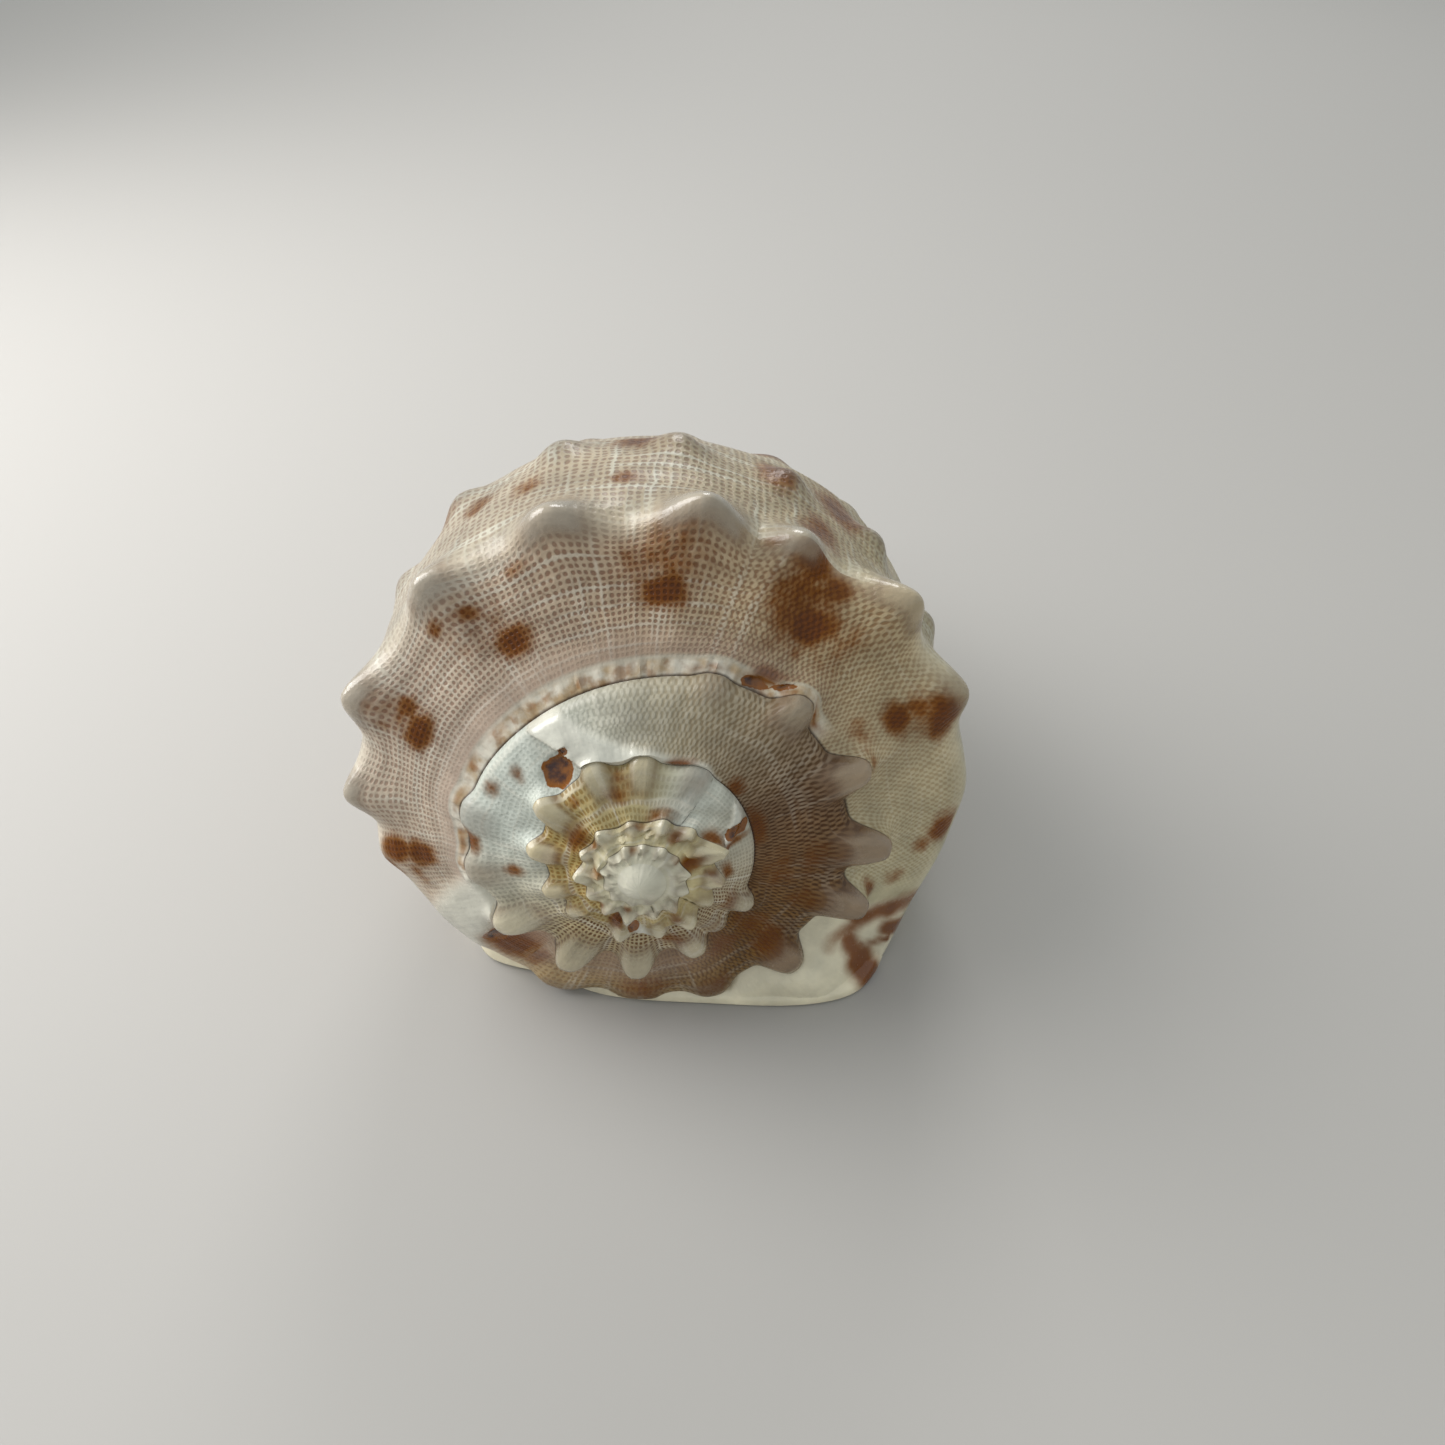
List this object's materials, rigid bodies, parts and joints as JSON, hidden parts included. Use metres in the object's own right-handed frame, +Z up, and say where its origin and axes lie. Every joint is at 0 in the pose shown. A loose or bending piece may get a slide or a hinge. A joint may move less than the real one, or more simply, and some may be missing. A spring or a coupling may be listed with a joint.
{
  "type": "helmet shell",
  "caption": "Large sea shell with a low knobbed spire, a netted last whorl, a flat shield and rolled lip round a long toothed mouth, and a short upturned siphon canal.",
  "frame": {"origin": "middle of the shell's bounding box, on the table that its flat underside rests on", "axes": "-Y towards the spire, +Y towards the siphon canal, +Z up through the knobbed back, +X towards the outer lip"},
  "size_m": [0.1427, 0.1799, 0.1232],
  "materials": {
    "shell": "satin shell, cream to pinkish beige with a brown net and brown blotches"
  },
  "bodies": {
    "root": {"helmet_shell": "shell"}
  },
  "joints": []
}
